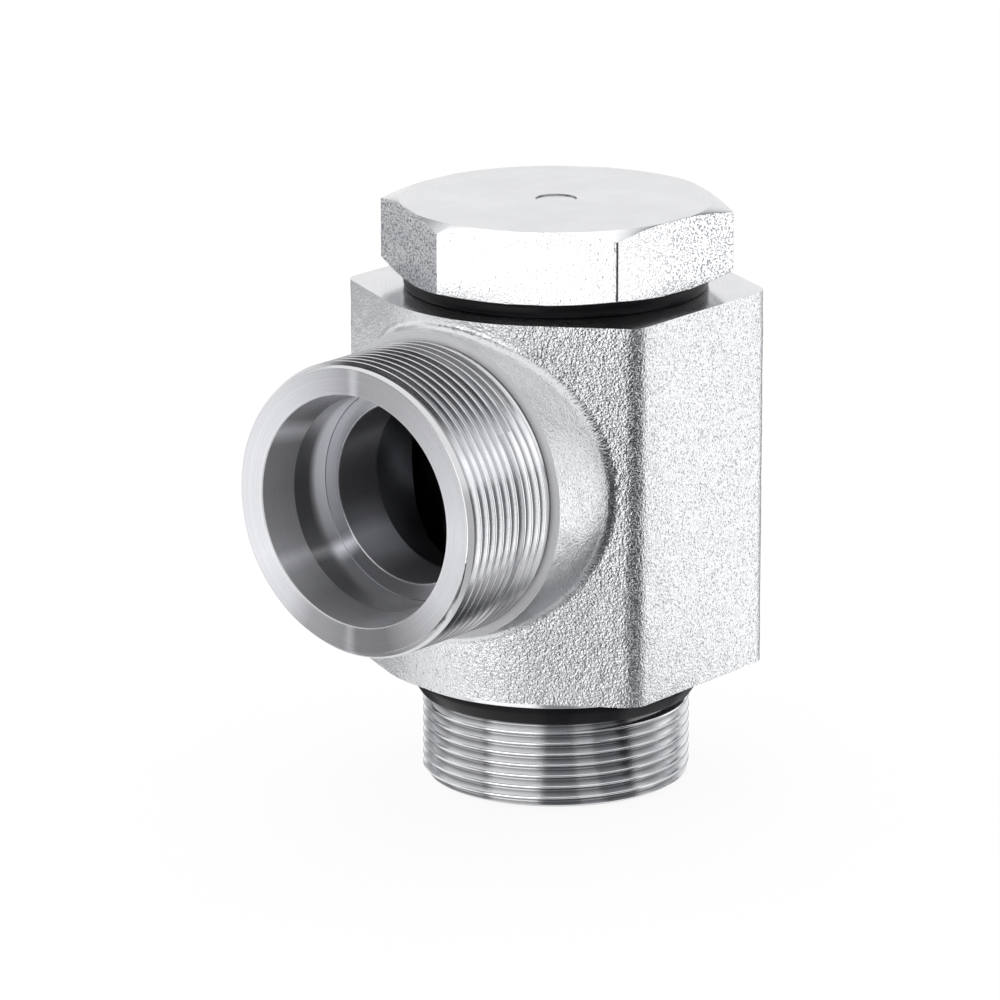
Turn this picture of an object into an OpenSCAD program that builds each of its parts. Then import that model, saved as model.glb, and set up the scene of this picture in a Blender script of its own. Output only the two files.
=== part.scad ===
// Banjo fitting: a forged block with a threaded tube stub turns on a hollow hex-headed bolt, which ends in the
// port thread. Millimetres, +Z up. The origin is on the bolt's axis at its lower end. The stub points along -Y.

/* [Banjo bolt] */
// Major diameter of the port thread
port_thread_d = 48; // [40:0.5:49]
// Pitch of both threads
pitch = 2; // [1.5:0.25:2.5]
// Length of the bolt below the block
port_len = 20; // [18:0.5:30]
// Length of the undercut that holds the port seal
undercut_len = 4.3; // [4:0.1:6]
// Diameter of the undercut
undercut_d = 44.5; // [38:0.25:45]
// Radial width of the chamfer at the bolt's end
end_chamfer = 1.4; // [0.8:0.1:2]
// Axial length of the chamfer at the bolt's end
end_chamfer_len = 0.95; // [0.6:0.05:2]
// Diameter of the lands that the block turns on
land_d = 49; // [49:0.1:50.5]
// Diameter of the neck under the head
neck_d = 47.4; // [46:0.1:47.5]
// Length of the neck inside the block
neck_len = 1; // [0.5:0.25:3]
// Diameter of the waist between the lands
waist_d = 42; // [38:0.5:45]
// Diameter of the blind flow bore
bolt_bore_d = 28; // [20:0.5:30]
// Diameter of the cross holes
cross_hole_d = 17; // [12:0.5:18]
// Number of cross holes
cross_holes = 4; // [3:1:4]
// Direction of the first cross hole, from +X towards +Y
cross_hole_angle = -104; // [-180:1:180]
// Distance of the cross holes below the stub's axis
cross_hole_drop = 10; // [0:0.5:10]
// Head across its flats
head_af = 55; // [54:0.5:60]
// Height of the head
head_h = 13; // [10:0.5:20]
// How much wider than its flats the head's end circles are
head_rim_extra = 0.4; // [0.2:0.1:1]
// Depth of the head's chamfers at its corners
head_chamfer = 1.25; // [0.8:0.05:2]
// Direction of one corner of the head, from +X towards +Y
head_angle = 27; // [0:1:60]
// Diameter of the centre mark on the head
mark_d = 7.3; // [4:0.1:10]
// Depth of the centre mark
mark_depth = 0.9; // [0.4:0.1:1.5]

/* [Banjo body] */
// Block across its flats
body_af = 65; // [63:0.5:75]
// Height of the block with its collar
body_h = 70; // [68:0.5:80]
// Radius of the block's four side corners
corner_r = 4.5; // [2:0.25:6]
// Diameter of the turned collar under the block
collar_d = 57; // [55:0.5:62]
// Height of the collar
collar_h = 2; // [1:0.25:3]
// Radial clearance between the block and the bolt's lands
swivel_clearance = 0.05; // [0.02:0.01:0.1]
// Chamfer at both ends of the vertical bore
bore_chamfer = 0.3; // [0.2:0.05:0.5]
// Diameter of the annular chamber
chamber_d = 53; // [51:0.5:55]
// Height of the annular chamber
chamber_h = 38; // [36:0.5:42]

/* [Tube stub] */
// Height of the stub's axis above the collar's face
stub_h = 40.4; // [38:0.1:42]
// Distance of the stub's face from the bolt's axis
stub_reach = 57; // [54:0.5:70]
// Major diameter of the stub's thread
stub_thread_d = 52; // [50.5:0.5:54]
// Radial width of the chamfer at the stub's face
stub_chamfer = 0.9; // [0.5:0.1:1.5]
// Axial length of the chamfer at the stub's face
stub_chamfer_len = 1.35; // [0.8:0.05:2]
// Distance of the thread's inner end from the bolt's axis
stub_thread_start = 35.3; // [35.3:0.1:40]
// Diameter of the neck behind the thread
stub_neck_d = 50.8; // [46:0.2:51]
// Distance of the boss's machined shoulder from the bolt's axis
shoulder_reach = 34.5; // [34:0.25:35.5]
// Diameter of the machined shoulder
shoulder_d = 53.4; // [53:0.1:56]
// Diameter of the boss behind its rounded front edge
boss_front_d = 54.6; // [54.2:0.2:57]
// Diameter of the boss where it leaves the block
boss_back_d = 56.4; // [56:0.2:60]
// Distance from the bolt's axis at which the boss reaches its full diameter
boss_root_reach = 22; // [18:0.5:24]
// Diameter of the 24 degree cone at the stub's face
mouth_d = 41; // [40:0.1:42]
// Outer diameter of the tube that the socket takes
tube_d = 38; // [36:0.5:39]
// Depth of the socket's shoulder from the face
socket_depth = 15.5; // [13:0.5:18]
// Diameter of the stub's flow bore
stub_bore_d = 32; // [24:0.5:33]

/* [Seals] */
// Outer diameter of the head seal
head_seal_d = 54.2; // [53.6:0.1:54.8]
// Height of the head seal and its support ring
head_seal_h = 2.5; // [2:0.1:4]
// How far the head seal's flank bulges between its edges
head_seal_crown = 0.25; // [0.1:0.05:0.4]
// Radial gap between the neck and the support ring
support_gap = 0.4; // [0.1:0.05:0.6]
// Radial width of the support ring
support_w = 1.6; // [1:0.1:1.8]
// Radial width of the port seal's upper band
port_seal_w = 3.9; // [3.2:0.1:5.5]
// Height of the port seal's straight upper band
port_seal_band = 1.6; // [1:0.1:2.5]
// Radial width of the port seal's lower end
port_seal_tip_w = 2.2; // [1.5:0.1:2.8]
// Height of the port seal
port_seal_h = 4.25; // [3.5:0.05:4.3]
// Radial gap between the undercut and the port seal
port_seal_gap = 0.05; // [0.02:0.01:0.1]

/* [Hidden] */
$fn = 96;

// Half the included angle of the tube cone
CONE_HALF_ANGLE = 12;
// Half the included angle of a drill's point
DRILL_HALF_ANGLE = 59;
// Share of the pitch that a thread's crest and root are wide
CREST_SHARE = 1 / 8;
ROOT_SHARE = 1 / 4;
// Tangent of a 30 degree flank
FLANK_TAN = tan(30);
// Share of the head seal's height that each sloped end of its flank takes
CROWN_SHARE = 0.3;
// Share of a cross hole's diameter that the flow bore reaches above its centre
BORE_REACH_SHARE = 0.75;
// How far a cutter runs past a face, and a solid into the one it joins
PAST = 1;

thread_depth = pitch * (1 - CREST_SHARE - ROOT_SHARE) / 2 / FLANK_TAN;

body_z0 = port_len;
hex_z0 = body_z0 + collar_h;
body_z1 = body_z0 + body_h;
stub_z = body_z0 + stub_h;
head_z0 = body_z1 + head_seal_h;
head_z1 = head_z0 + head_h;
undercut_z0 = body_z0 - undercut_len;
chamber_z0 = stub_z - chamber_h / 2;
chamber_z1 = stub_z + chamber_h / 2;

bore_r = land_d / 2 + swivel_clearance;
bolt_bore_r = bolt_bore_d / 2;
cross_z = stub_z - cross_hole_drop;
bolt_bore_top = cross_z + cross_hole_d * BORE_REACH_SHARE;
bolt_bore_tip = bolt_bore_r / tan(DRILL_HALF_ANGLE);

support_r0 = neck_d / 2 + support_gap;
support_r1 = support_r0 + support_w;
mouth_len = (mouth_d - tube_d) / 2 / tan(CONE_HALF_ANGLE);

// Ridges of a thread as points [radius, height], from z0 up to z1, with half a root at each end
function ridge_points(crest_r, z0, z1) =
    let (
        count = floor((z1 - z0) / pitch + 0.001),
        first = z0 + (z1 - z0 - count * pitch) / 2,
        root_r = crest_r - thread_depth,
        root_half = pitch * ROOT_SHARE / 2,
        crest_half = pitch * CREST_SHARE / 2
    )
    [
        for (k = [0 : count - 1])
            let (mid = first + (k + 0.5) * pitch)
            each [
                [root_r, mid - pitch / 2 + root_half],
                [crest_r, mid - crest_half],
                [crest_r, mid + crest_half],
                [root_r, mid + pitch / 2 - root_half]
            ]
    ];

// Plan of the block: a hexagon whose front and rear corners follow the circle between its flats
module block_plan() {
    flat = body_af / 2;
    corner_y = flat * tan(30);
    trim = corner_r * tan(30);
    inset = corner_r / cos(30);
    corner_reach = flat / cos(30);
    polygon([
        for (side = [0 : 3])
            let (
                sx = side == 0 || side == 3 ? 1 : -1,
                sy = side < 2 ? 1 : -1,
                on_flat = [sx * flat, sy * (corner_y - trim)],
                on_slant = [sx * (flat - trim * cos(30)), sy * (corner_y + trim / 2)],
                at_tangent = [sx * flat / 2, sy * flat * cos(30)]
            )
            each side % 2 == 0 ? [on_flat, on_slant, at_tangent] : [at_tangent, on_slant, on_flat]
    ]);
    for (angle = [30, 150, 210, 330])
        rotate(angle) translate([corner_reach - inset, 0]) circle(r = corner_r);
    circle(r = flat);
}

// Outside of the stub and its boss, turned about Z, with height as the distance from the bolt's axis
module stub_outside() {
    thread_r = stub_thread_d / 2;
    thread_z1 = stub_reach - stub_chamfer_len;
    edge_round = (boss_front_d - shoulder_d) / 2;
    inside_z = body_af / 4;
    rotate_extrude()
        polygon(concat(
            [
                [0, inside_z],
                [boss_back_d / 2, inside_z],
                [boss_back_d / 2, boss_root_reach],
                [boss_front_d / 2, shoulder_reach - edge_round],
                [shoulder_d / 2, shoulder_reach],
                [stub_neck_d / 2, shoulder_reach],
                [stub_neck_d / 2, stub_thread_start]
            ],
            ridge_points(thread_r, stub_thread_start, thread_z1),
            [
                [thread_r - thread_depth, thread_z1],
                [thread_r, thread_z1],
                [thread_r - stub_chamfer, stub_reach],
                [0, stub_reach]
            ]
        ));
}

// Cone, socket and flow bore of the stub, turned the same way
module stub_inside() {
    cone_slope = tan(CONE_HALF_ANGLE);
    rotate_extrude()
        polygon([
            [0, 0],
            [stub_bore_d / 2, 0],
            [stub_bore_d / 2, stub_reach - socket_depth],
            [tube_d / 2, stub_reach - socket_depth],
            [tube_d / 2, stub_reach - mouth_len],
            [mouth_d / 2 + PAST * cone_slope, stub_reach + PAST],
            [0, stub_reach + PAST]
        ]);
}

// Lands, chamber and end chamfers of the block's vertical bore
module vertical_bore() {
    step = chamber_d / 2 - bore_r;
    rotate_extrude()
        polygon([
            [0, body_z0 - PAST],
            [bore_r + bore_chamfer + PAST, body_z0 - PAST],
            [bore_r, body_z0 + bore_chamfer],
            [bore_r, chamber_z0],
            [chamber_d / 2, chamber_z0 + step],
            [chamber_d / 2, chamber_z1 - step],
            [bore_r, chamber_z1],
            [bore_r, body_z1 - bore_chamfer],
            [bore_r + bore_chamfer + PAST, body_z1 + PAST],
            [0, body_z1 + PAST]
        ]);
}

module banjo_body() {
    color("lightgray")
        difference() {
            union() {
                translate([0, 0, hex_z0]) linear_extrude(body_z1 - hex_z0) block_plan();
                translate([0, 0, body_z0]) cylinder(d = collar_d, h = collar_h + PAST);
                translate([0, 0, stub_z]) rotate([90, 0, 0]) stub_outside();
            }
            vertical_bore();
            translate([0, 0, stub_z]) rotate([90, 0, 0]) stub_inside();
        }
}

// Everything of the bolt below its head, with the flow bore
module bolt_shank() {
    thread_r = port_thread_d / 2;
    root_r = thread_r - thread_depth;
    shoulder = (land_d - waist_d) / 2;
    rotate_extrude()
        polygon(concat(
            [
                [bolt_bore_r, 0],
                [thread_r - end_chamfer, 0],
                [thread_r, end_chamfer_len],
                [root_r, end_chamfer_len + thread_depth * FLANK_TAN]
            ],
            ridge_points(thread_r, end_chamfer_len + thread_depth * FLANK_TAN, undercut_z0),
            [
                [undercut_d / 2, undercut_z0],
                [undercut_d / 2, body_z0],
                [land_d / 2, body_z0],
                [land_d / 2, chamber_z0 - shoulder],
                [waist_d / 2, chamber_z0],
                [waist_d / 2, chamber_z1],
                [land_d / 2, chamber_z1 + shoulder],
                [land_d / 2, body_z1 - neck_len],
                [neck_d / 2, body_z1 - neck_len],
                [neck_d / 2, head_z0 + PAST],
                [0, head_z0 + PAST],
                [0, bolt_bore_top + bolt_bore_tip],
                [bolt_bore_r, bolt_bore_top]
            ]
        ));
}

// Hexagon with both ends chamfered down to a circle, and a shallow mark turned into its top
module bolt_head() {
    corner = head_af / 2 / cos(30);
    rim = (head_af + head_rim_extra) / 2;
    difference() {
        intersection() {
            translate([0, 0, head_z0]) rotate(head_angle) cylinder(r = corner, h = head_h, $fn = 6);
            rotate_extrude()
                polygon([
                    [0, head_z0],
                    [rim, head_z0],
                    [corner, head_z0 + head_chamfer],
                    [corner + PAST, head_z0 + head_chamfer],
                    [corner + PAST, head_z1 - head_chamfer],
                    [corner, head_z1 - head_chamfer],
                    [rim, head_z1],
                    [0, head_z1]
                ]);
        }
        translate([0, 0, head_z1 - mark_depth])
            cylinder(r1 = mark_d / 2 - mark_depth, r2 = mark_d / 2 + PAST, h = mark_depth + PAST);
    }
}

module banjo_bolt() {
    color("silver")
        difference() {
            union() {
                bolt_shank();
                bolt_head();
            }
            for (k = [0 : cross_holes - 1])
                translate([0, 0, cross_z])
                    rotate(cross_hole_angle + k * 360 / cross_holes)
                        rotate([0, 90, 0])
                            cylinder(d = cross_hole_d, h = land_d);
        }
}

module head_seal() {
    rim = head_seal_d / 2;
    bevel = head_seal_h * CROWN_SHARE;
    color("black")
        translate([0, 0, body_z1])
            rotate_extrude()
                polygon([
                    [support_r1, 0],
                    [rim - head_seal_crown, 0],
                    [rim, bevel],
                    [rim, head_seal_h - bevel],
                    [rim - head_seal_crown, head_seal_h],
                    [support_r1, head_seal_h]
                ]);
}

module head_support_ring() {
    color("gray")
        translate([0, 0, body_z1])
            difference() {
                cylinder(r = support_r1, h = head_seal_h);
                translate([0, 0, -PAST]) cylinder(r = support_r0, h = head_seal_h + 2 * PAST);
            }
}

module port_seal() {
    inner_r = undercut_d / 2 + port_seal_gap;
    color("black")
        translate([0, 0, body_z0 - port_seal_h])
            rotate_extrude()
                polygon([
                    [inner_r, 0],
                    [inner_r + port_seal_tip_w, 0],
                    [inner_r + port_seal_w, port_seal_h - port_seal_band],
                    [inner_r + port_seal_w, port_seal_h],
                    [inner_r, port_seal_h]
                ]);
}

banjo_body();
banjo_bolt();
head_seal();
head_support_ring();
port_seal();
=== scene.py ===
import math

import bmesh
import bpy
import numpy as np
from mathutils import Matrix, Vector, noise


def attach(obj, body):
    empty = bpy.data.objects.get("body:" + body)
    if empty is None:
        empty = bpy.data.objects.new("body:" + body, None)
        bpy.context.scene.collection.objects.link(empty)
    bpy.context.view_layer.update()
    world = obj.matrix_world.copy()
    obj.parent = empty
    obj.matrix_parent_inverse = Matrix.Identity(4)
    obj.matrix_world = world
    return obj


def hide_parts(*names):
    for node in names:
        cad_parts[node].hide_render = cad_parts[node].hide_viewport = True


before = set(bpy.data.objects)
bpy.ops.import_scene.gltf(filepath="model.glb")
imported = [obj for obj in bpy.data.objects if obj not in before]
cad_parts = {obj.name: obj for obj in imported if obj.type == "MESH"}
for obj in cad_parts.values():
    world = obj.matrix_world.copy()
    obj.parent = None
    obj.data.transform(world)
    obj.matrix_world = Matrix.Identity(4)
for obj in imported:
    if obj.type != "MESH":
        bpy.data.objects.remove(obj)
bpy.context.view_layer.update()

# All shapes are worked out in millimetres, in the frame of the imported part, and put into the meshes in metres.
# Sizes that end in _R are radii, and those that end in _S are distances from the bolt's axis along the stub.
MM = 0.001
TAU = 2 * math.pi

# Both threads
PITCH = 2.0
THREAD_DEPTH = 0.6134 * PITCH

# Block
COLLAR_R = 28.5
COLLAR_Z0 = 20.0
BLOCK_R = 32.5
BLOCK_Z0 = 22.0
BLOCK_Z1 = 90.0
CORNER_R = 4.5
BORE_R = 24.55
BORE_CHAMFER = 0.3
CHAMBER_R = 26.5
CHAMBER_Z0 = 41.4
CHAMBER_Z1 = 79.4
BOSS_ROOT_R = 28.3
BOSS_ROOT_S = 22
BOSS_FRONT_R = 27.4
BOSS_EDGE_R = 0.7
BOSS_FILLET_R = 1.3
SHOULDER_S = 34.5

# Tube stub
STUB_Z = 60.4
STUB_R = 26.0
STUB_END = 57.0
STUB_NECK_R = 25.4
STUB_FACE_R = 25.1
STUB_CHAMFER_S = 55.05
STUB_THREAD_S = 34.9
RUN_OUT_S = 34.8
RUN_OUT_LENGTH = 2.2
STUB_CORE_R = 23.6
STUB_BORE_R = 16
SOCKET_R = 19
SOCKET_S = 41.5
MOUTH_R = 20.5
CONE_S = STUB_END - (MOUTH_R - SOCKET_R) / math.tan(math.radians(12))

# Bolt
PORT_R = 24.0
UNDERCUT_R = 22.25
UNDERCUT_Z0 = 15.7
LAND_R = 24.5
WAIST_R = 21
NECK_R = 23.7
BOLT_BORE_R = 14
CROSS_HOLE_R = 8.5
CROSS_HOLE_Z = 50.4
CROSS_HOLE_ANGLE = -104
HEAD_Z0 = 92.5
HEAD_Z1 = 105.5
HEX_R = 27.5
HEX_CORNER_R = HEX_R / math.cos(math.pi / 6)
HEX_ANGLE = math.radians(27)
RIM_R = 27.7
RIM_DROP = 1.25

# Seals
PORT_SEAL_Z0 = 15.75
PORT_SEAL_R = 22.3
PORT_SEAL_FOOT_R = 24.5
PORT_SEAL_RIM_R = 26.2
PORT_SEAL_RIM = 1.6
HEAD_SEAL_R = 25.8
HEAD_SEAL_END_R = 26.85
HEAD_SEAL_CROWN_R = 27.1
HEAD_SEAL_BEVEL = 0.75


# mesh helpers

def make_object(name, verts, faces, mats=(), face_mats=None):
    mesh = bpy.data.meshes.new(name)
    mesh.from_pydata((np.asarray(verts, float) * MM).tolist(), [], faces)
    for mat in mats:
        mesh.materials.append(mat)
    if face_mats is not None:
        mesh.polygons.foreach_set("material_index", np.asarray(face_mats, np.int32))
    mesh.update()
    obj = bpy.data.objects.new(name, mesh)
    bpy.context.scene.collection.objects.link(obj)
    return obj


def revolve(name, profile, cols=256, to_world=None):
    """A closed solid turned about Z from a closed profile of (radius, height), counterclockwise in that plane."""
    angles = np.arange(cols) * TAU / cols
    verts = []
    rings = []
    for r, z in profile:
        first = len(verts)
        if r < 1e-9:
            rings.append([first])
            verts.append((0.0, 0.0, z))
        else:
            rings.append(list(range(first, first + cols)))
            verts.extend(zip(r * np.cos(angles), r * np.sin(angles), np.full(cols, z)))
    faces = []
    for k, a in enumerate(rings):
        b = rings[(k + 1) % len(rings)]
        if len(a) == 1 and len(b) == 1:
            continue
        for i in range(cols):
            j = (i + 1) % cols
            if len(a) == 1:
                faces.append((a[0], b[j], b[i]))
            elif len(b) == 1:
                faces.append((a[i], a[j], b[0]))
            else:
                faces.append((a[i], a[j], b[j], b[i]))
    verts = np.array(verts)
    if to_world is not None:
        verts = to_world(verts)
    return make_object(name, verts, faces)


# A thread's outline over one pitch: share of the pitch from the crest's middle, and share of the full depth
THREAD_OUTLINE = (
    (0.0, 1.0), (0.05, 1.0), (0.095, 0.955), (0.42, 0.05), (0.445, 0.0),
    (0.555, 0.0), (0.58, 0.05), (0.905, 0.955), (0.95, 1.0),
)
# How far a screw runs past both its ends, in pitches
OVERRUN = 1.3


def screw(name, crest_r, root_at_zero, z0, z1, reshape=None, to_world=None):
    """A closed right-hand screw about Z that runs past z0 and z1. Root_at_zero is a groove's height at angle 0."""
    cols = 256
    per = len(THREAD_OUTLINE)
    start = root_at_zero + PITCH / 2
    start -= PITCH * math.ceil((start - (z0 - OVERRUN * PITCH)) / PITCH)
    turns = int(math.ceil((z1 + OVERRUN * PITCH - start) / PITCH)) + 1
    rows = turns * per
    angles = np.arange(cols) * TAU / cols
    u = np.array([[k + p[0] for p in THREAD_OUTLINE] for k in range(turns)]).reshape(-1)
    h = np.array([[p[1] for p in THREAD_OUTLINE]] * turns).reshape(-1)
    z = start + PITCH * (u[:, None] + angles[None, :] / TAU)
    r = np.broadcast_to((crest_r - THREAD_DEPTH * (1 - h))[:, None], z.shape).copy()
    if reshape is not None:
        r = reshape(r, z)
    verts = np.stack([r * np.cos(angles), r * np.sin(angles), z], axis=-1).reshape(-1, 3)
    verts = np.concatenate([verts, [[0.0, 0.0, z.min() - PITCH], [0.0, 0.0, z.max() + PITCH]]])
    faces = []
    for k in range(rows - 1):
        a, b = k * cols, (k + 1) * cols
        faces.extend((a + i, a + i + 1, b + i + 1, b + i) for i in range(cols - 1))
        if k + 1 + per < rows:
            faces.append((a + cols - 1, a + per * cols, b + per * cols, b + cols - 1))
    low = len(verts) - 2
    loop = list(range(cols)) + [k * cols for k in range(per, 0, -1)]
    faces.extend((low, loop[(n + 1) % len(loop)], loop[n]) for n in range(len(loop)))
    top = (rows - 1) * cols
    loop = [top + i for i in range(cols)] + [k * cols + cols - 1 for k in range(rows - 2, rows - 2 - per, -1)]
    faces.extend((low + 1, loop[n], loop[(n + 1) % len(loop)]) for n in range(len(loop)))
    if to_world is not None:
        verts = to_world(verts)
    return make_object(name, verts, faces)


def settle(obj):
    """Puts what the object's modifiers make of its mesh in the mesh's place."""
    graph = bpy.context.evaluated_depsgraph_get()
    mesh = bpy.data.meshes.new_from_object(obj.evaluated_get(graph))
    obj.modifiers.clear()
    old = obj.data
    obj.data = mesh
    bpy.data.meshes.remove(old)


def boolean(obj, other, operation):
    """Changes obj's mesh by the other object, and deletes that."""
    mod = obj.modifiers.new("cut", "BOOLEAN")
    mod.operation = operation
    mod.solver = "MANIFOLD"
    mod.object = other
    settle(obj)
    if len(obj.data.polygons) == 0:
        raise RuntimeError(f"{operation} of {obj.name} with {other.name} gave nothing")
    bpy.data.objects.remove(other)


def box(name, low, high):
    (x0, y0, z0), (x1, y1, z1) = low, high
    verts = [(x, y, z) for z in (z0, z1) for y in (y0, y1) for x in (x0, x1)]
    faces = [(0, 2, 3, 1), (4, 5, 7, 6), (0, 1, 5, 4), (2, 6, 7, 3), (0, 4, 6, 2), (1, 3, 7, 5)]
    return make_object(name, verts, faces)


def along_stub(verts):
    """Turns points made about Z into points about the stub's axis, which runs along -Y."""
    return np.stack([verts[:, 0], -verts[:, 2], verts[:, 1] + STUB_Z], axis=-1)


def face_data(obj):
    """Centres in millimetres and normals of the mesh's faces."""
    out = []
    for key in ("center", "normal"):
        values = np.zeros(len(obj.data.polygons) * 3)
        obj.data.polygons.foreach_get(key, values)
        out.append(values.reshape(-1, 3))
    return out[0] / MM, out[1]


def dress(obj, mats, kinds):
    """Gives the mesh its materials, and each face the number of its own."""
    obj.data.materials.clear()
    for mat in mats:
        obj.data.materials.append(mat)
    obj.data.polygons.foreach_set("material_index", kinds)


def shade(obj, angle, weighted=False):
    """Smooth shading with sharp edges. Weighted lets the large faces set the normals, for flat turned faces."""
    obj.data.shade_smooth()
    obj.data.set_sharp_from_angle(angle=math.radians(angle))
    if weighted:
        obj.modifiers.new("normals", "WEIGHTED_NORMAL").keep_sharp = True
        settle(obj)
    return obj


def bend(a, b, c, f):
    """The point at share f of the curve that leaves a towards b and ends at c."""
    return (1 - f) ** 2 * a + 2 * f * (1 - f) * b + f ** 2 * c


def rounded(points, radii, steps=3):
    """Rounds the corners of a closed outline. Radii are per point, 0 keeps the corner."""
    out = []
    for k, radius in enumerate(radii):
        p = np.array(points[k], float)
        if radius <= 0:
            out.append(tuple(p))
            continue
        a = np.array(points[k - 1], float) - p
        b = np.array(points[(k + 1) % len(points)], float) - p
        la, lb = np.linalg.norm(a), np.linalg.norm(b)
        t = min(radius, 0.45 * la, 0.45 * lb)
        out.extend(tuple(bend(p + a / la * t, p, p + b / lb * t, i / steps)) for i in range(steps + 1))
    return out


# materials

class Nodes:
    """Short calls for building a material's node tree."""

    def __init__(self, mat):
        mat.use_nodes = True
        self.tree = mat.node_tree
        self.tree.nodes.clear()

    def add(self, kind, **settings):
        node = self.tree.nodes.new(kind)
        for key, value in settings.items():
            setattr(node, key, value)
        return node

    def link(self, source, target):
        self.tree.links.new(source, target)

    def here(self):
        return self.add("ShaderNodeTexCoord").outputs["Object"]

    def split(self, vector):
        node = self.add("ShaderNodeSeparateXYZ")
        self.link(vector, node.inputs[0])
        return node.outputs["X"], node.outputs["Y"], node.outputs["Z"]

    def math(self, operation, a, b=None):
        node = self.add("ShaderNodeMath", operation=operation)
        for socket, value in zip(node.inputs, (a, b)):
            if value is None:
                continue
            if isinstance(value, (int, float)):
                socket.default_value = value
            else:
                self.link(value, socket)
        return node.outputs[0]

    def length(self, a, b):
        return self.math("SQRT", self.math("ADD", self.math("MULTIPLY", a, a), self.math("MULTIPLY", b, b)))

    def noise(self, vector, scale, detail=2.0, roughness=0.5):
        node = self.add("ShaderNodeTexNoise")
        node.inputs["Scale"].default_value = scale
        node.inputs["Detail"].default_value = detail
        node.inputs["Roughness"].default_value = roughness
        self.link(vector, node.inputs["Vector"])
        return node.outputs["Fac"]

    def noise_1d(self, value, scale, detail=2.0):
        node = self.add("ShaderNodeTexNoise", noise_dimensions="1D")
        node.inputs["Scale"].default_value = scale
        node.inputs["Detail"].default_value = detail
        self.link(value, node.inputs["W"])
        return node.outputs["Fac"]

    def spread(self, value, low, high, to_low, to_high):
        """Maps low to high onto to_low to to_high, and holds the ends."""
        node = self.add("ShaderNodeMapRange", clamp=True)
        self.link(value, node.inputs["Value"])
        for key, number in (("From Min", low), ("From Max", high), ("To Min", to_low), ("To Max", to_high)):
            node.inputs[key].default_value = number
        return node.outputs["Result"]

    def tint(self, value, dark, light):
        node = self.add("ShaderNodeMix", data_type="RGBA")
        self.link(value, node.inputs["Factor"])
        node.inputs["A"].default_value = (*dark, 1)
        node.inputs["B"].default_value = (*light, 1)
        return node.outputs["Result"]

    def blend(self, factor, a, b):
        node = self.add("ShaderNodeMix", data_type="RGBA")
        self.link(factor, node.inputs["Factor"])
        self.link(a, node.inputs["A"])
        self.link(b, node.inputs["B"])
        return node.outputs["Result"]

    def multiply(self, a, b):
        node = self.add("ShaderNodeMix", data_type="RGBA", blend_type="MULTIPLY")
        node.inputs["Factor"].default_value = 1.0
        self.link(a, node.inputs["A"])
        self.link(b, node.inputs["B"])
        return node.outputs["Result"]

    def ramp(self, value, tones):
        """A faintly blue grey from a list of (place, level)."""
        node = self.add("ShaderNodeValToRGB")
        stops = node.color_ramp.elements
        while len(stops) < len(tones):
            stops.new(0.5)
        for stop, (share, level) in zip(stops, tones):
            stop.position = share
            stop.color = (level, level, level * 1.02, 1)
        self.link(value, node.inputs[0])
        return node.outputs["Color"]

    def bump(self, height, distance):
        node = self.add("ShaderNodeBump")
        node.inputs["Strength"].default_value = 1.0
        node.inputs["Distance"].default_value = distance
        self.link(height, node.inputs["Height"])
        return node.outputs["Normal"]

    def show(self, shader):
        self.link(shader, self.add("ShaderNodeOutputMaterial").inputs["Surface"])

    def surface(self, metallic, roughness, anisotropic=0.0):
        shader = self.add("ShaderNodeBsdfPrincipled")
        shader.inputs["Metallic"].default_value = metallic
        shader.inputs["Roughness"].default_value = roughness
        shader.inputs["Anisotropic"].default_value = anisotropic
        self.show(shader.outputs[0])
        return shader


def zinc(level):
    return (level, level + 0.005, level + 0.02)


def forged_steel():
    """Zinc over a forged surface. The grain is weaker to the left and on the boss, and a little stronger in front."""
    mat = bpy.data.materials.new("forged_zinc")
    n = Nodes(mat)
    where = n.here()
    x, y, z = n.split(where)
    leftwards = n.spread(x, -0.018, 0.014, 0.40, 1.0)
    forwards = n.spread(y, -0.020, -0.008, 1.25, 1.0)
    wear = n.math("MULTIPLY", leftwards, forwards)
    reach = n.length(x, n.math("SUBTRACT", z, STUB_Z * MM))
    off_boss = n.spread(reach, 0.0286, 0.0298, 0.5, 1.0)
    behind = n.spread(y, -0.018, -0.014, 0.0, 1.0)
    wear = n.math("MULTIPLY", wear, n.math("MAXIMUM", off_boss, behind))
    coarse = n.noise(where, 1100, 1)
    grain = n.noise(where, 2500, 1)
    pits = n.math("MULTIPLY", n.spread(n.noise(where, 2600, 1), 0.60, 0.72, 0, 1), wear)
    height = n.math("MULTIPLY", n.math("ADD", n.math("MULTIPLY", coarse, 0.6), grain), wear)
    height = n.math("SUBTRACT", height, n.math("MULTIPLY", pits, 0.25))
    shader = n.surface(1.0, 0.28)
    n.link(n.bump(height, 0.00016), shader.inputs["Normal"])
    n.link(n.tint(pits, (0.80, 0.805, 0.815), (0.50, 0.51, 0.53)), shader.inputs["Base Color"])
    return mat


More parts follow.
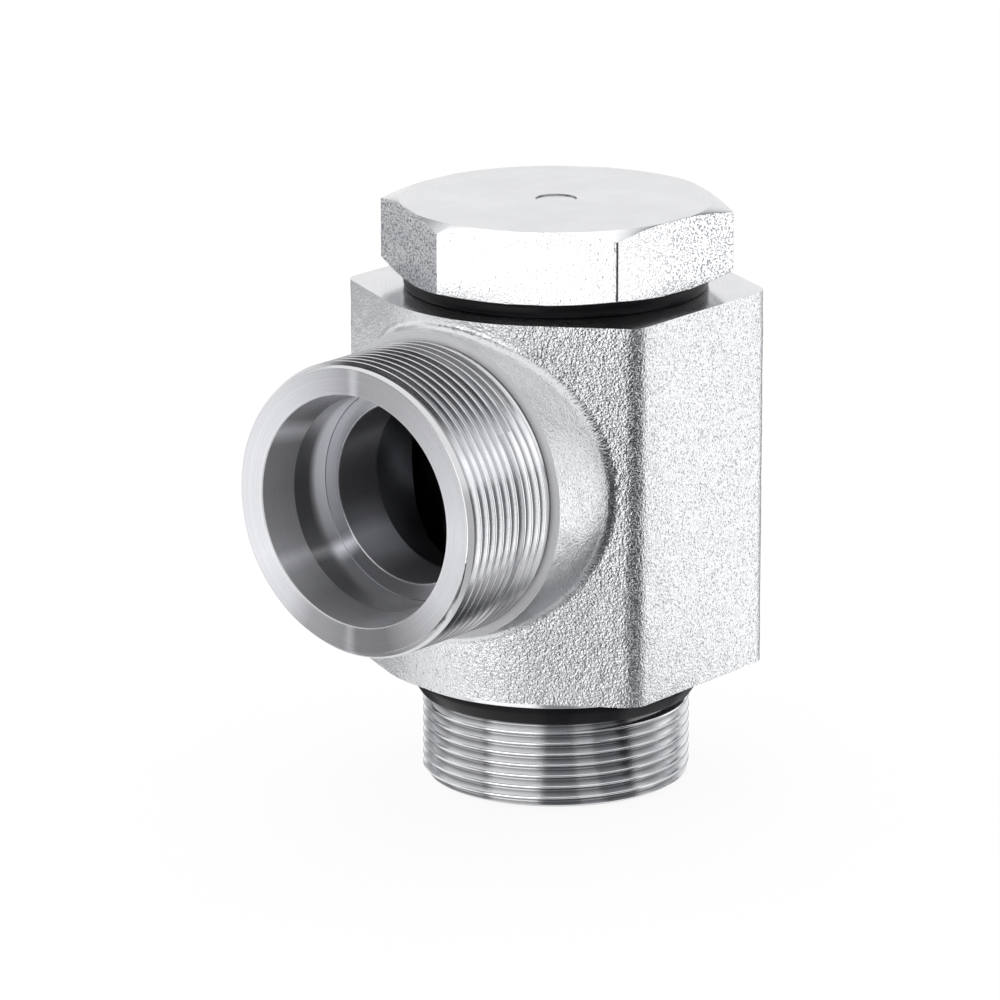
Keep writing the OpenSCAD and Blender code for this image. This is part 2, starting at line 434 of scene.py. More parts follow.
def turned_steel(name, axis, base, roughness, groove, anisotropic, painted_reflections=(), metallic=1.0, cloud=0.0,
                 rings=0.93, painted_root_shade=None, inner_painted_reflections=None):
    """Rings about the bolt's axis (Z) or the stub's (Y), with a grain that runs round it.

    Groove is the rings' depth in metres, and rings is how dark they get.
    Cloud is how strong the soft patches are.
    The first list of (share of a turn, tone) is painted reflections and painted shade: the wide light and dark
    streaks that a turned face shows round its axis, put into its colour.
    The inner list is a second such list of painted reflections and shade, with the two distances from the bolt's axis
    between which it takes over.
    The root's (lower radius, upper radius, tone) is painted shade: the bottom of a thread's groove made darker.
    """
    mat = bpy.data.materials.new(name)
    n = Nodes(mat)
    where = n.here()
    x, y, z = n.split(where)
    if axis == "Z":
        across, up, along = x, y, z
    else:
        across, up, along = x, n.math("SUBTRACT", z, STUB_Z * MM), y
    radius = n.length(across, up)
    ring = n.math("ADD", radius, along)
    height = n.math("ADD", n.math("MULTIPLY", n.noise_1d(ring, 9000, 3), 0.5), n.noise_1d(ring, 1500, 2))
    shader = n.surface(metallic, roughness, anisotropic)
    shader.inputs["Anisotropic Rotation"].default_value = 0.25
    n.link(n.bump(height, groove), shader.inputs["Normal"])
    tangent = n.add("ShaderNodeCombineXYZ")
    n.link(n.math("MULTIPLY", up, -1.0), tangent.inputs["X"])
    n.link(across, tangent.inputs["Y" if axis == "Z" else "Z"])
    world = n.add("ShaderNodeVectorTransform", vector_type="VECTOR", convert_from="OBJECT", convert_to="WORLD")
    n.link(tangent.outputs[0], world.inputs[0])
    unit = n.add("ShaderNodeVectorMath", operation="NORMALIZE")
    n.link(world.outputs[0], unit.inputs[0])
    n.link(unit.outputs[0], shader.inputs["Tangent"])
    share = n.spread(n.noise_1d(ring, 3000, 3), 0.3, 0.7, 0, 1)
    if cloud:
        patches = n.spread(n.noise(where, 130, 3, 0.6), 0.35, 0.65, -cloud, cloud)
        share = n.math("ADD", share, patches)
    colour = n.tint(share, tuple(c * rings for c in base), base)
    # Painted reflections and painted shade: tones by the angle round the axis
    if painted_reflections:
        turn = n.spread(n.math("ARCTAN2", up, across), -math.pi, math.pi, 0, 1)
        fray = n.math("MULTIPLY", n.math("SUBTRACT", n.noise_1d(ring, 2500, 2), 0.5), 0.004)
        turn = n.math("ADD", turn, fray)
        tones = n.ramp(turn, painted_reflections)
        if inner_painted_reflections:
            second, near, far = inner_painted_reflections
            deep = n.spread(along, -far * MM, -near * MM, 0, 1)
            tones = n.blend(deep, tones, n.ramp(turn, second))
        colour = n.multiply(colour, tones)
    # Painted shade: the bottom of the thread's groove made darker
    if painted_root_shade:
        low, high, tone = painted_root_shade
        colour = n.multiply(colour, n.spread(radius, low * MM, high * MM, tone, 1.0))
    n.link(colour, shader.inputs["Base Color"])
    return mat


def hex_steel(name, stretch, low, high, depth, grow=None):
    """The head's flats. The stretch draws the grain out round the head, the limits set how many dark specks show.

    Grow gives the two Y positions between which the grain grows from faint to full.
    """
    mat = bpy.data.materials.new(name)
    n = Nodes(mat)
    place = n.add("ShaderNodeMapping")
    place.inputs["Scale"].default_value = (stretch, stretch, 1.0)
    n.link(n.here(), place.inputs["Vector"])
    where = place.outputs[0]
    grain = n.noise(where, 2800, 2, 0.6)
    coarse = n.noise(where, 900, 2)
    pits = n.spread(n.noise(where, 2900, 1), low, high, 0, 1)
    height = n.math("ADD", n.math("MULTIPLY", grain, 0.7), n.math("MULTIPLY", coarse, 0.3))
    if grow:
        share = n.spread(n.split(n.here())[1], grow[0], grow[1], 0.25, 1.0)
        height = n.math("MULTIPLY", height, share)
        pits = n.math("MULTIPLY", pits, share)
    shader = n.surface(1.0, 0.2)
    n.link(n.bump(height, depth), shader.inputs["Normal"])
    n.link(n.tint(pits, (0.88, 0.885, 0.89), (0.30, 0.31, 0.33)), shader.inputs["Base Color"])
    return mat


def rubber():
    mat = bpy.data.materials.new("seal_rubber")
    n = Nodes(mat)
    where = n.here()
    shader = n.surface(0.0, 0.3)
    shader.inputs["Specular IOR Level"].default_value = 0.12
    n.link(n.bump(n.noise(where, 2500), 0.000006), shader.inputs["Normal"])
    n.link(n.tint(n.noise(where, 300), (0.004, 0.004, 0.005), (0.009, 0.009, 0.011)), shader.inputs["Base Color"])
    return mat


# Painted reflections and painted shade on the stub's turned faces: tones round the stub, as shares of a turn from the
# left side over the bottom, right and top
FACE_PAINTED_REFLECTIONS = (
    (0.0, 1.0), (0.08, 1.05), (0.14, 0.85), (0.18, 0.45), (0.233, 0.34), (0.243, 0.5), (0.253, 0.26),
    (0.30, 0.24), (0.345, 0.45), (0.41, 0.85), (0.5, 0.95), (0.60, 0.72), (0.68, 0.50), (0.738, 0.44),
    (0.748, 0.7), (0.758, 0.47), (0.79, 0.62), (0.87, 0.88), (0.95, 1.0),
)
CONE_PAINTED_REFLECTIONS = (
    (0.0, 0.55), (0.05, 0.65), (0.085, 0.8), (0.10, 1.3), (0.12, 0.8), (0.17, 0.5), (0.25, 0.6), (0.33, 0.9),
    (0.37, 1.2), (0.5, 1.0), (0.74, 0.9), (0.80, 0.6), (0.88, 0.5), (0.905, 1.3), (0.93, 0.6), (1.0, 0.55),
)
SOCKET_PAINTED_REFLECTIONS = (
    (0.0, 0.25), (0.05, 0.25), (0.095, 0.4), (0.105, 1.1), (0.12, 0.4), (0.18, 0.35), (0.28, 0.6), (0.34, 1.2),
    (0.5, 1.0), (0.72, 0.9), (0.80, 0.6), (0.88, 0.8), (0.93, 0.35), (1.0, 0.25),
)
SOCKET_INNER_PAINTED_REFLECTIONS = (
    (0.0, 1.2), (0.06, 0.9), (0.095, 0.6), (0.108, 1.3), (0.13, 0.5), (0.2, 0.45), (0.28, 0.6), (0.34, 1.2),
    (0.5, 1.0), (0.72, 0.9), (0.82, 1.0), (0.90, 1.3), (1.0, 1.2),
)
SHOULDER_PAINTED_REFLECTIONS = (
    (0.0, 0.8), (0.09, 0.7), (0.108, 1.5), (0.13, 0.5), (0.25, 0.42), (0.33, 0.9), (0.5, 1.0), (0.75, 1.1),
    (0.9, 1.0), (1.0, 0.8),
)
BORE_PAINTED_REFLECTIONS = (
    (0.0, 0.55), (0.04, 0.5), (0.08, 0.8), (0.11, 1.6), (0.15, 1.6), (0.20, 0.8), (0.5, 0.7), (0.8, 0.45),
    (0.95, 0.8), (1.0, 0.55),
)
THREAD_PAINTED_REFLECTIONS = (
    (0.0, 0.8), (0.25, 0.6), (0.31, 0.22), (0.385, 0.30), (0.43, 0.9), (0.5, 1.0), (0.60, 1.0), (0.66, 0.85),
    (0.75, 0.8), (0.84, 0.8), (0.95, 0.8),
)

FORGED = forged_steel()
TURNED_Z = turned_steel("turned_about_bolt", "Z", zinc(0.84), 0.17, 0.000010, 0.4)
THREAD_Z = turned_steel("port_thread_steel", "Z", zinc(0.86), 0.17, 0.000010, 0.4, painted_root_shade=(22.8, 23.8, 0.5))
RIM_Y = turned_steel("boss_rim", "Y", zinc(0.68), 0.3, 0.000008, 0.3, metallic=0.15)
EDGE_Y = turned_steel("stub_edge", "Y", zinc(0.96), 0.25, 0.000004, 0.3, metallic=0.3)
THREAD_Y = turned_steel(
    "stub_thread_steel", "Y", (0.90, 0.905, 0.915), 0.14, 0.000008, 0.3, THREAD_PAINTED_REFLECTIONS, metallic=0.75,
    painted_root_shade=(24.85, 25.45, 0.15))
CHAMFER_Y = turned_steel("stub_chamfer", "Y", zinc(0.72), 0.2, 0.000008, 0.5, metallic=0.4)
FACE_Y = turned_steel("stub_face", "Y", zinc(0.94), 0.16, 0.000010, 0.8, FACE_PAINTED_REFLECTIONS, rings=0.88)
SHOULDER_Y = turned_steel("stub_shoulder", "Y", zinc(0.60), 0.24, 0.000010, 0.6, SHOULDER_PAINTED_REFLECTIONS, rings=0.88)
FACED_Z = turned_steel("faced_about_bolt", "Z", zinc(0.73), 0.17, 0.000005, 0.6, cloud=0.5)
# A dark copy of the turned zinc: painted shade for bores, recesses, thread run-outs and faces hidden inside the block
SHADED_INSIDE_Z = turned_steel("shaded_inside_about_bolt", "Z", zinc(0.30), 0.3, 0.000006, 0.4)
BORE_Y = turned_steel("stub_bore", "Y", (0.62, 0.625, 0.65), 0.3, 0.000004, 0.5, BORE_PAINTED_REFLECTIONS, metallic=0.8)
CONE_Y = turned_steel("stub_cone", "Y", zinc(0.74), 0.24, 0.000012, 0.6, CONE_PAINTED_REFLECTIONS, metallic=0.6, rings=0.88)
SOCKET_Y = turned_steel(
    "stub_socket", "Y", zinc(0.72), 0.2, 0.000008, 0.6, SOCKET_PAINTED_REFLECTIONS, metallic=0.6,
    inner_painted_reflections=(SOCKET_INNER_PAINTED_REFLECTIONS, 44.2, 46.2))
RING = turned_steel("ring_zinc", "Z", (0.62, 0.63, 0.65), 0.3, 0.000012, 0.4)
HEX = hex_steel("hex_bar_zinc", 1.0, 0.66, 0.74, 0.00008)
HEX_GRAINED = hex_steel("hex_bar_zinc_grained", 0.4, 0.50, 0.64, 0.00016)
HEX_SPECKLED = hex_steel("hex_bar_zinc_speckled", 0.7, 0.50, 0.60, 0.00016, (-0.020, 0.004))
RUBBER = rubber()


# block

def plan_distance(x, y):
    """Signed distance to the block's plan: a hexagon with rounded side corners, round at its front and rear."""
    angle = np.arctan2(y, x)
    radius = np.hypot(x, y)
    fold = (angle + TAU / 12) % (TAU / 6) - TAU / 12
    inset = BLOCK_R - CORNER_R
    u = radius * np.cos(fold) - inset
    v = np.abs(radius * np.sin(fold)) - inset * math.tan(math.pi / 6)
    hexagon = np.where(v > 0, np.hypot(np.maximum(u, 0), v), u) - CORNER_R
    near_y = np.abs(np.abs(angle) - math.pi / 2) < math.pi / 6
    return np.where(near_y, radius - BLOCK_R, hexagon)


def plan_radius(angle, gap=0.0):
    """Distance from the bolt's axis to the plan, or to a gap outside it."""
    low, high = 20.0, 45.0
    for _ in range(30):
        mid = (low + high) / 2
        if plan_distance(np.array([mid * math.cos(angle)]), np.array([mid * math.sin(angle)]))[0] > gap:
            high = mid
        else:
            low = mid
    return low


# How far the block's first mesh runs past the faces it is trimmed to
SPARE = 3


def boss_distance(x, y, z):
    """Signed distance to the round boss, which gets a little thinner towards its rounded front edge."""
    s = -y
    radius = np.hypot(x, z - STUB_Z)
    share = np.clip((s - BOSS_ROOT_S) / (SHOULDER_S - BOSS_ROOT_S), 0, 1)
    a = radius - (BOSS_ROOT_R + (BOSS_FRONT_R - BOSS_ROOT_R) * share) + BOSS_EDGE_R
    b = s - (SHOULDER_S + 2) + BOSS_EDGE_R
    outer = np.minimum(np.maximum(a, b), 0) + np.hypot(np.maximum(a, 0), np.maximum(b, 0)) - BOSS_EDGE_R
    return np.maximum(outer, 12 - s)


def block_distance(p):
    """Signed distance to the block with its boss and the fillet between them."""
    x, y, z = p[:, 0], p[:, 1], p[:, 2]
    middle = (BLOCK_Z0 + BLOCK_Z1) / 2
    half = (BLOCK_Z1 - BLOCK_Z0) / 2 + SPARE
    block = np.maximum(plan_distance(x, y), np.abs(z - middle) - half)
    boss = boss_distance(x, y, z)
    corner = np.hypot(np.maximum(BOSS_FILLET_R - block, 0), np.maximum(BOSS_FILLET_R - boss, 0))
    return np.maximum(BOSS_FILLET_R, np.minimum(block, boss)) - corner


def gradient(p, step=0.02):
    """Direction in which the block's distance grows."""
    out = np.zeros_like(p)
    for k in range(3):
        d = np.zeros(3)
        d[k] = step
        out[:, k] = (block_distance(p + d) - block_distance(p - d)) / (2 * step)
    return out / np.maximum(np.linalg.norm(out, axis=1), 1e-6)[:, None]


def unevenness(point):
    """How far the forged surface lies off the exact one: slow waves and smaller dents."""
    q = Vector(point)
    return noise.fractal(q / 5.5, 1.0, 2.0, 2) * 0.07 + noise.noise(q / 1.35 + Vector((7, 3, 1))) * 0.045


def vertical_bore(name):
    """What the block's bore and its chamber take away."""
    step = CHAMBER_R - BORE_R
    wide = BORE_R + BORE_CHAMFER + 1
    return revolve(name, [
        (0, COLLAR_Z0 - 1), (wide, COLLAR_Z0 - 1), (BORE_R, COLLAR_Z0 + BORE_CHAMFER), (BORE_R, CHAMBER_Z0),
        (CHAMBER_R, CHAMBER_Z0 + step), (CHAMBER_R, CHAMBER_Z1 - step), (BORE_R, CHAMBER_Z1),
        (BORE_R, BLOCK_Z1 - BORE_CHAMFER), (wide, BLOCK_Z1 + 1), (0, BLOCK_Z1 + 1),
    ], 192)


def build_block():
    # A rough mesh is turned into even small faces, and its points are moved onto the exact surface.
    angles = [k * TAU / 240 for k in range(240)]
    plan = [(plan_radius(a) * math.cos(a), plan_radius(a) * math.sin(a)) for a in angles]
    count = len(plan)
    verts = [(x, y, z) for z in (BLOCK_Z0 - SPARE, BLOCK_Z1 + SPARE) for x, y in plan]
    faces = [(i, (i + 1) % count, count + (i + 1) % count, count + i) for i in range(count)]
    faces += [tuple(range(count - 1, -1, -1)), tuple(range(count, 2 * count))]
    block = make_object("banjo_block", verts, faces)
    front = SHOULDER_S + 2
    boss = [(0, 14), (BOSS_ROOT_R - 0.1, 14), (BOSS_FRONT_R, front), (0, front)]
    boolean(block, revolve("boss", boss, 160, along_stub), "UNION")
    remesh = block.modifiers.new("remesh", "REMESH")
    remesh.mode = "VOXEL"
    remesh.voxel_size = 0.52 * MM
    remesh.adaptivity = 0
    settle(block)
    co = np.zeros(len(block.data.vertices) * 3)
    block.data.vertices.foreach_get("co", co)
    p = co.reshape(-1, 3) / MM
    for _ in range(4):
        p -= block_distance(p)[:, None] * gradient(p)
    normal = gradient(p, 0.25)
    p += normal * np.array([unevenness(q) for q in p.tolist()])[:, None]
    block.data.vertices.foreach_set("co", (p * MM).reshape(-1))
    block.data.update()

    boolean(block, box("trim", (-60, -SHOULDER_S, BLOCK_Z0), (60, 60, BLOCK_Z1)), "INTERSECT")
    collar = rounded(
        [(0, COLLAR_Z0), (COLLAR_R, COLLAR_Z0), (COLLAR_R, BLOCK_Z0 + 1), (0, BLOCK_Z0 + 1)], [0, 0.12, 0, 0])
    boolean(block, revolve("collar", collar), "UNION")
    boolean(block, vertical_bore("bore"), "DIFFERENCE")
    hole_r = STUB_CORE_R - 0.1
    hole = [(0, 20), (hole_r, 20), (hole_r, SHOULDER_S + 1.5), (0, SHOULDER_S + 1.5)]
    boolean(block, revolve("hole", hole, 192, along_stub), "DIFFERENCE")

    sides, collar_side, ends, rim, inside = range(5)
    centres, normals = face_data(block)
    radius = np.hypot(centres[:, 0], centres[:, 1])
    inward = (centres[:, :2] * normals[:, :2]).sum(axis=1) < 0
    level = np.abs(normals[:, 2])
    end = (level > 0.99) & (
        np.abs(centres[:, 2:] - np.array((COLLAR_Z0, BLOCK_Z0, BLOCK_Z1))).min(axis=1) < 0.01)
    kinds = np.full(len(centres), sides, np.int32)
    kinds[centres[:, 2] < BLOCK_Z0 - 0.01] = collar_side
    # The bore and chamber get the dark copy of the turned zinc: painted shade
    kinds[(radius < CHAMBER_R + 0.3) & (centres[:, 1] > -27) & ~end & (inward | (level > 0.3))] = inside
    kinds[end] = ends
    kinds[(np.abs(centres[:, 1] + SHOULDER_S) < 0.01) & (normals[:, 1] < -0.99)] = rim
    dress(block, (FORGED, TURNED_Z, FACED_Z, RIM_Y, SHADED_INSIDE_Z), kinds)
    return shade(block, 38)


def build_stub():
    def run_out(r, s):
        """The groove fades out towards the shoulder, and the crests drop to the neck just before it."""
        depth = (STUB_R - r) * np.clip((s - RUN_OUT_S) / RUN_OUT_LENGTH, 0, 1)
        crest = STUB_NECK_R + (STUB_R - STUB_NECK_R) * np.clip((s - STUB_THREAD_S) / 0.4, 0, 1)
        return crest - depth

    stub = screw("tube_stub", STUB_R, 53.3, 35, STUB_END, run_out, along_stub)
    clear = STUB_R + 0.4
    outside = rounded([
        (0, STUB_THREAD_S), (clear, STUB_THREAD_S), (clear, STUB_CHAMFER_S), (STUB_FACE_R, STUB_END),
        (0, STUB_END),
    ], [0, 0, 0, 0.12, 0])
    boolean(stub, revolve("outside", outside, to_world=along_stub), "INTERSECT")
    seat = SHOULDER_S - 0.05
    core = [
        (0, 18), (STUB_CORE_R, 18), (STUB_CORE_R, seat), (STUB_NECK_R, seat), (STUB_NECK_R, STUB_THREAD_S + 0.1),
        (24, 35.4), (0, 38),
    ]
    boolean(stub, revolve("core", core, to_world=along_stub), "UNION")
    # Rings along the bore, socket and cone keep their faces short, so that the normals stay true
    inside = [(0, 10)] + [(STUB_BORE_R, 10 + 3.5 * k) for k in range(9)] + [
        (STUB_BORE_R, SOCKET_S), (SOCKET_R, SOCKET_S), (SOCKET_R, 44.5), (SOCKET_R, 47.5), (SOCKET_R, CONE_S),
        (19.7, (CONE_S + STUB_END) / 2 - 0.2), (MOUTH_R, STUB_END), (21.2, STUB_END + 0.7), (0, STUB_END + 0.7),
    ]
    inside = rounded(inside, [0] * 10 + [0.3, 0.25, 0, 0, 0.2, 0, 0.3, 0, 0])
    boolean(stub, revolve("inside", inside, to_world=along_stub), "DIFFERENCE")
    boolean(stub, vertical_bore("end"), "DIFFERENCE")

    thread, socket, bore, painted_dim, face, chamfer, cone, shoulder, edge = range(9)
    centres, normals = face_data(stub)
    x, s, rise = centres[:, 0], -centres[:, 1], centres[:, 2] - STUB_Z
    front = -normals[:, 1]
    radius = np.hypot(x, rise)
    inward = x * normals[:, 0] + rise * normals[:, 2] < -0.3 * radius
    slanted = (front > 0.25) & (front < 0.93)
    kinds = np.full(len(centres), thread, np.int32)
    wide = inward & (radius > STUB_BORE_R + 1)
    faced = (front > 0.8) & (s > SOCKET_S - 0.5)
    kinds[wide] = socket
    kinds[wide & (s > CONE_S)] = cone
    kinds[faced] = face
    kinds[faced & (s < SOCKET_S + 1.5)] = shoulder
    kinds[slanted & (radius > STUB_BORE_R) & (radius < STUB_BORE_R + 0.4) & (s > SOCKET_S - 0.5)] = edge
    kinds[slanted & (radius > MOUTH_R - 0.2) & (radius < MOUTH_R + 0.5) & (s > STUB_END - 0.5)] = edge
    # Painted shade: the socket's outer edge, the neck before the shoulder and the faces inside the block get the dark
    # copy of the turned zinc
    kinds[slanted & (radius > SOCKET_R - 0.4) & (radius < SOCKET_R) & (s < SOCKET_S + 0.5)] = painted_dim
    kinds[~inward & (radius < STUB_NECK_R + 0.3) & (s < STUB_THREAD_S + 0.3)] = painted_dim
    bevel = (s > STUB_CHAMFER_S + 0.05) & (front > 0.3) & (front < 0.8)
    kinds[~inward & bevel & (radius < STUB_R + 0.1)] = chamfer
    kinds[inward & (radius < STUB_BORE_R + 0.4)] = bore
    kinds[s < 30] = painted_dim
    dress(stub, (THREAD_Y, SOCKET_Y, BORE_Y, SHADED_INSIDE_Z, FACE_Y, CHAMFER_Y, CONE_Y, SHOULDER_Y, EDGE_Y), kinds)
    return shade(stub, 28, True)


# bolt

def hex_columns():
    """Angles round the head from a corner, and the head's radius at each, with a small radius on the corners."""
    round_r = 0.5
    centre = (HEX_R - round_r) / math.cos(math.pi / 6)
    reach = math.atan2(round_r * 0.5, centre + round_r * math.cos(math.pi / 6))
    angles, radii = [], []
    for side in range(6):
        for k in range(-4, 5):
            phi = reach * k / 4
            angles.append(side * TAU / 6 + phi)
            radii.append(centre * math.cos(phi) + math.sqrt(max(round_r ** 2 - (centre * math.sin(phi)) ** 2, 0)))
        for k in range(1, 48):
            phi = reach + (TAU / 6 - 2 * reach) * k / 48
            angles.append(side * TAU / 6 + phi)
            radii.append(HEX_R / math.cos(phi - TAU / 12))
    return np.array(angles) + HEX_ANGLE, np.array(radii)


def head_outline(radius):
    """Points from the head's end face to the middle of its side at one column, with heights below the end face."""
    top = min(RIM_R, radius)
    drop = max(radius - RIM_R, 0) * RIM_DROP / (HEX_CORNER_R - RIM_R)
    p0, p1 = np.array((top, 0.0)), np.array((radius, -drop))
    gap = np.linalg.norm(p1 - p0)
    points = [np.array((top - 0.12, 0.0))]
    if gap < 1e-6:
        a, b = np.array((top - 0.1, 0)), np.array((top, -0.1))
        points += [bend(a, p0, b, f) for f in (0.25, 0.5, 0.75)] + [b] * 5
    else:
        t = min(0.1, 0.45 * gap)
        way = (p1 - p0) / gap
        a, b = p1 - way * t, p1 - (0, t)
        points += [p0 - (t, 0), p0 + way * t * 0.5, p0 + way * t, a]
        points += [bend(a, p1, b, f) for f in (0.25, 0.5, 0.75)] + [b]
    return points + [np.array((radius, (HEAD_Z0 - HEAD_Z1) / 2))]


def build_head():
    flat, end, painted_mark_edge, grained, speckled = range(5)
    angles, radii = hex_columns()
    cols = len(angles)
    # The centre mark's outline after its middle, as radii and depths below the head's face
    mark_depth = 0.2
    mark = ((3.2, mark_depth), (3.52, 0.22), (3.62, 0.03), (3.68, 0))
    rows = []
    kinds = []
    for r, depth in mark:
        rows.append((np.full(cols, r), np.full(cols, HEAD_Z1 - depth)))
        # The mark's wall and rim get the dark copy of the turned zinc: painted shade in the recess
        kinds.append(painted_mark_edge if 3.4 < r < 3.65 else end)
    for r in (8.0, 13.0, 18.0, 22.0, 25.0):
        rows.append((np.full(cols, r), np.full(cols, HEAD_Z1)))
        kinds.append(end)
    sides = np.array([head_outline(r) for r in radii])
    steps = sides.shape[1]
    for k in range(steps):
        rows.append((sides[:, k, 0], HEAD_Z1 + sides[:, k, 1]))
        kinds.append(end if k < 5 else flat)
    for k in range(steps - 2, -1, -1):
        rows.append((sides[:, k, 0], HEAD_Z0 - sides[:, k, 1]))
        kinds.append(flat if k > 3 else end)
    rows.append((np.full(cols, 20.0), np.full(cols, HEAD_Z0)))
    verts = [(0, 0, HEAD_Z1 - mark_depth)]
    for r, z in rows:
        verts.extend(zip(r * np.cos(angles), r * np.sin(angles), z))
    verts.append((0, 0, HEAD_Z0))
    faces = [(0, 1 + i, 1 + (i + 1) % cols) for i in range(cols)]
    mats = [end] * cols
    for k in range(len(rows) - 1):
        a, b = 1 + k * cols, 1 + (k + 1) * cols
        faces.extend((a + i, b + i, b + (i + 1) % cols, a + (i + 1) % cols) for i in range(cols))
        mats.extend([kinds[k]] * cols)
    a = 1 + (len(rows) - 1) * cols
    faces.extend((len(verts) - 1, a + (i + 1) % cols, a + i) for i in range(cols))
    mats.extend([end] * cols)
    side = np.degrees((angles - HEX_ANGLE) % TAU) // 60
    grain = {0: grained, 2: grained, 3: grained, 5: speckled}
    for f, face in enumerate(faces):
        if mats[f] == flat:
            mats[f] = grain.get(side[(face[0] - 1) % cols], flat)
    head = make_object("bolt_head", verts, faces, (HEX, FACED_Z, SHADED_INSIDE_Z, HEX_GRAINED, HEX_SPECKLED), mats)
    work = bmesh.new()
    work.from_mesh(head.data)
    bmesh.ops.remove_doubles(work, verts=work.verts, dist=2e-6)
    bmesh.ops.recalc_face_normals(work, faces=work.faces)
    work.to_mesh(head.data)
    work.free()
    return shade(head, 25)


def build_shank():
    root_at_zero = 0.55 + PITCH * 142 / 360
    shank = screw("bolt_shank", PORT_R, root_at_zero, 0, UNDERCUT_Z0)
    envelope = rounded([
        (0, 0), (PORT_R - 1.4, 0), (PORT_R + 0.3, 1.15), (PORT_R + 0.3, UNDERCUT_Z0), (0, UNDERCUT_Z0),
    ], [0, 0.12, 0, 0, 0])
    boolean(shank, revolve("envelope", envelope), "INTERSECT")
    step = LAND_R - WAIST_R
    rest = rounded([
        (0, 8), (21.9, 8), (UNDERCUT_R, UNDERCUT_Z0 - 0.1), (UNDERCUT_R, COLLAR_Z0), (LAND_R, COLLAR_Z0),
        (LAND_R, CHAMBER_Z0 - step), (WAIST_R, CHAMBER_Z0), (WAIST_R, CHAMBER_Z1), (LAND_R, CHAMBER_Z1 + step),
        (LAND_R, BLOCK_Z1 - 1), (NECK_R, BLOCK_Z1 - 1), (NECK_R, HEAD_Z0 + 0.1), (0, HEAD_Z0 + 0.1),
    ], [0, 0, 0, 0.1, 0.2, 0.3, 1.0, 1.0, 0.3, 0.2, 0, 0, 0])
    boolean(shank, revolve("rest", rest), "UNION")
    bore_top = CROSS_HOLE_Z + CROSS_HOLE_R * 1.5
    bore = [
        (0, -1), (BOLT_BORE_R + 1.3, -1), (BOLT_BORE_R, 0.3), (BOLT_BORE_R, bore_top),
        (0, bore_top + BOLT_BORE_R / math.tan(math.radians(59))),
    ]
    boolean(shank, revolve("bore", bore, 192), "DIFFERENCE")
    cross = [(0, 4), (CROSS_HOLE_R, 4), (CROSS_HOLE_R, 20.6), (9.9, 22), (9.9, 30), (0, 30)]
    for k in range(4):
        a = math.radians(CROSS_HOLE_ANGLE + 90 * k)
        turn = np.array([[0, -math.sin(a), math.cos(a)], [0, math.cos(a), math.sin(a)], [-1, 0, 0]])
        tool = revolve("cross", cross, 96, lambda v: v @ turn.T + np.array([0, 0, CROSS_HOLE_Z]))
        boolean(shank, tool, "DIFFERENCE")
    centres, normals = face_data(shank)
    inward = centres[:, 0] * normals[:, 0] + centres[:, 1] * normals[:, 1] < -0.3
    # The bore, cross holes and the part inside the block get the dark copy of the turned zinc: painted shade
    dress(shank, (THREAD_Z, SHADED_INSIDE_Z), (inward | (centres[:, 2] > COLLAR_Z0)).astype(np.int32))
    return shade(shank, 28)


def build_seals():
    port = rounded([
        (PORT_SEAL_R, PORT_SEAL_Z0), (PORT_SEAL_FOOT_R, PORT_SEAL_Z0),
        (PORT_SEAL_RIM_R, COLLAR_Z0 - PORT_SEAL_RIM), (PORT_SEAL_RIM_R, COLLAR_Z0), (PORT_SEAL_R, COLLAR_Z0),
    ], [0.2, 0.3, 0.5, 0.15, 0.2], 6)
    head = rounded([
        (HEAD_SEAL_R, BLOCK_Z1), (HEAD_SEAL_END_R, BLOCK_Z1), (HEAD_SEAL_CROWN_R, BLOCK_Z1 + HEAD_SEAL_BEVEL),
        (HEAD_SEAL_CROWN_R, HEAD_Z0 - HEAD_SEAL_BEVEL), (HEAD_SEAL_END_R, HEAD_Z0), (HEAD_SEAL_R, HEAD_Z0),
    ], [0.1, 0.25, 0.4, 0.4, 0.25, 0.1], 5)
    out = []
    for name, profile in (("port_seal_ring", port), ("head_seal_ring", head)):
        ring = revolve(name, profile, 192)
        ring.data.materials.append(RUBBER)
        out.append(shade(ring, 50))
    return out


block = build_block()
stub = build_stub()
head = build_head()
shank = build_shank()
port_seal, head_seal = build_seals()

for piece, body, node, slot in (
    (block, "banjo", "banjo_body", "body_steel"),
    (stub, "banjo", "banjo_body", "body_steel"),
    (head, "bolt", "banjo_bolt", "bolt_steel"),
    (shank, "bolt", "banjo_bolt", "bolt_steel"),
    (port_seal, "bolt", "port_seal", "seal_rubber"),
    (head_seal, "bolt", "head_seal", "seal_rubber"),
):
    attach(piece, body)
    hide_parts(node)

# The support ring is hidden by the head seal, so the solid itself is shown.
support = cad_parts["head_support_ring"]
support.data.materials.clear()
support.data.materials.append(RING)


# camera: the direction, roll, distance and shifts were solved from the photograph's outlines

TO_CAMERA = Vector((0.5959, -0.7588, 0.2629)).normalized()
ROLL = math.radians(-0.13)
DISTANCE = 1032.85
SHIFT_LEFT = 10.00
SHIFT_DOWN = 9.77
level = Vector((0, 0, 1)).cross(TO_CAMERA).normalized()
upward = TO_CAMERA.cross(level)
right = level * math.cos(ROLL) + upward * math.sin(ROLL)
up = upward * math.cos(ROLL) - level * math.sin(ROLL)
place = TO_CAMERA * DISTANCE - right * SHIFT_LEFT - up * SHIFT_DOWN + Vector((0, 0, STUB_Z))

camera_data = bpy.data.cameras.new("camera")
camera_data.sensor_width = 36
camera_data.lens = 208.23
camera_data.clip_start = 0.05
camera_data.clip_end = 20
camera = bpy.data.objects.new("camera", camera_data)
bpy.context.scene.collection.objects.link(camera)
turn = Matrix((right, up, TO_CAMERA)).transposed().to_4x4()
camera.matrix_world = Matrix.Translation(place * MM) @ turn
bpy.context.scene.camera = camera


# stage and light

FLOOR_Z = -0.3
